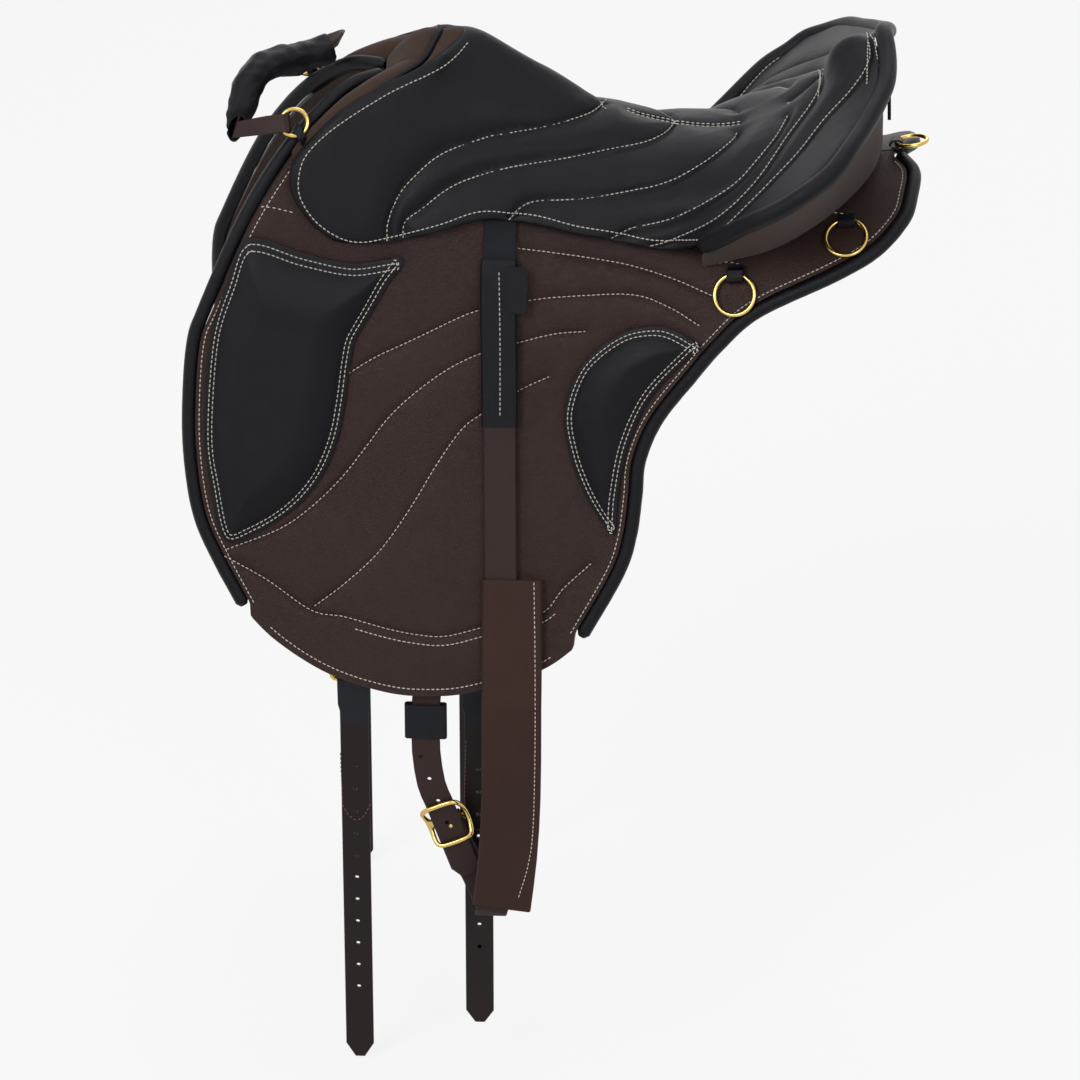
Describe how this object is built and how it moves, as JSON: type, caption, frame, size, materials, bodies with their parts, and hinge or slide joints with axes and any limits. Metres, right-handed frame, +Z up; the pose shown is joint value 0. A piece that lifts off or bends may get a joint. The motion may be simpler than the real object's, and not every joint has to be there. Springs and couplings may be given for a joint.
{
  "type": "treeless saddle",
  "caption": "Flexible riding saddle with a quilted padded seat, leather flaps, knee rolls, stirrup leathers, girth straps, tie rings and a grab handle.",
  "frame": {"origin": "on the saddle's spine line, level with the lowest point of its underside crest", "axes": "+X to the horse's rear, -Y to the near (left) side, +Z up"},
  "size_m": [0.6511, 0.4294, 0.9689],
  "materials": {
    "black_leather": "satin",
    "brown_leather": "pebbled satin",
    "strap_leather": "matte",
    "billet_leather": "matte",
    "fender_leather": "matte",
    "nubuck": "napped",
    "webbing": "woven",
    "foam": "matte",
    "felt": "napped",
    "brass": "polished"
  },
  "bodies": {
    "saddle": {"cantle_binding": "black_leather", "cantle_gusset": "nubuck", "cantle_tab": "black_leather", "cantle_wedge": "foam", "crupper_tab": "black_leather", "flap_near": "brown_leather", "flap_off": "brown_leather", "front_binding_near": "black_leather", "front_binding_off": "black_leather", "girth_yoke_near": "webbing", "girth_yoke_off": "webbing", "handle_near_ring": "brass", "handle_near_tab": "black_leather", "handle_off_ring": "brass", "handle_off_tab": "black_leather", "handle_strap": "strap_leather", "handle_wrap": "black_leather", "knee_roll_near": "black_leather", "knee_roll_off": "black_leather", "panel_near": "felt", "panel_off": "felt", "pommel_gusset": "nubuck", "pommel_piping": "black_leather", "rear_a_near_tab": "black_leather", "rear_a_off_tab": "black_leather", "rear_b_near_tab": "black_leather", "rear_b_off_tab": "black_leather", "rear_binding_near": "black_leather", "rear_binding_off": "black_leather", "seat_core": "foam", "seat_cover": "black_leather", "thigh_block_near": "black_leather", "thigh_block_off": "black_leather"},
    "near_stirrup_loop": {"buckle_frame_near": "brass", "fender_sleeve_near": "fender_leather", "hanger_sleeve_near": "black_leather", "hanger_webbing_near": "webbing", "holed_strap_near": "strap_leather", "stirrup_strap_near": "strap_leather"},
    "near_keeper": {"strap_keeper_near": "webbing"},
    "near_front_billet": {"front_billet_near": "billet_leather", "front_rigging_ring_near": "brass"},
    "near_rear_billet": {"rear_billet_near": "billet_leather", "rear_rigging_ring_near": "brass"},
    "near_tie_ring_a": {"rear_a_near_ring": "brass"},
    "near_tie_ring_b": {"rear_b_near_ring": "brass"},
    "off_stirrup_loop": {"buckle_frame_off": "brass", "fender_sleeve_off": "fender_leather", "hanger_sleeve_off": "black_leather", "hanger_webbing_off": "webbing", "holed_strap_off": "strap_leather", "stirrup_strap_off": "strap_leather"},
    "off_keeper": {"strap_keeper_off": "webbing"},
    "off_front_billet": {"front_billet_off": "billet_leather", "front_rigging_ring_off": "brass"},
    "off_rear_billet": {"rear_billet_off": "billet_leather", "rear_rigging_ring_off": "brass"},
    "off_tie_ring_a": {"rear_a_off_ring": "brass"},
    "off_tie_ring_b": {"rear_b_off_ring": "brass"},
    "crupper_ring_body": {"crupper_ring": "brass"}
  },
  "joints": [
    {"name": "near_stirrup_swing", "type": "hinge", "parent": "saddle", "child": "near_stirrup_loop", "pos_m": [-0.03695, -0.07189, -0.00937], "axis": [0, -0.9613, 0.2756], "range_deg": [-15, 2]},
    {"name": "near_keeper_slide", "type": "slide", "parent": "near_stirrup_loop", "child": "near_keeper", "axis": [0, 0, -1], "range_m": [0, 0.012]},
    {"name": "near_front_billet_swing", "type": "hinge", "parent": "saddle", "child": "near_front_billet", "pos_m": [-0.15778, -0.17159, -0.41087], "axis": [1, 0, 0], "range_deg": [-2, 25]},
    {"name": "near_rear_billet_swing", "type": "hinge", "parent": "saddle", "child": "near_rear_billet", "pos_m": [-0.04637, -0.17159, -0.41087], "axis": [1, 0, 0], "range_deg": [-2, 25]},
    {"name": "near_tie_ring_a_lift", "type": "hinge", "parent": "saddle", "child": "near_tie_ring_a", "pos_m": [0.17571, -0.11751, -0.05185], "axis": [-1, 0, 0], "range_deg": [0, 25]},
    {"name": "near_tie_ring_b_lift", "type": "hinge", "parent": "saddle", "child": "near_tie_ring_b", "pos_m": [0.27095, -0.09303, -0.00889], "axis": [-1, 0, 0], "range_deg": [0, 25]},
    {"name": "off_stirrup_swing", "type": "hinge", "parent": "saddle", "child": "off_stirrup_loop", "pos_m": [-0.06495, 0.07189, -0.00598], "axis": [0, 0.9613, 0.2756], "range_deg": [-2, 15]},
    {"name": "off_keeper_slide", "type": "slide", "parent": "off_stirrup_loop", "child": "off_keeper", "axis": [0, 0, -1], "range_m": [0, 0.012]},
    {"name": "off_front_billet_swing", "type": "hinge", "parent": "saddle", "child": "off_front_billet", "pos_m": [-0.18578, 0.17159, -0.41087], "axis": [1, 0, 0], "range_deg": [-25, 2]},
    {"name": "off_rear_billet_swing", "type": "hinge", "parent": "saddle", "child": "off_rear_billet", "pos_m": [-0.07437, 0.17159, -0.41087], "axis": [1, 0, 0], "range_deg": [-25, 2]},
    {"name": "off_tie_ring_a_lift", "type": "hinge", "parent": "saddle", "child": "off_tie_ring_a", "pos_m": [0.17571, 0.11751, -0.05185], "axis": [1, 0, 0], "range_deg": [0, 25]},
    {"name": "off_tie_ring_b_lift", "type": "hinge", "parent": "saddle", "child": "off_tie_ring_b", "pos_m": [0.27095, 0.09303, -0.00889], "axis": [1, 0, 0], "range_deg": [0, 25]},
    {"name": "crupper_ring_lift", "type": "hinge", "parent": "saddle", "child": "crupper_ring_body", "pos_m": [0.31256, 0, 0.02361], "axis": [0, -1, 0], "range_deg": [0, 25]}
  ]
}
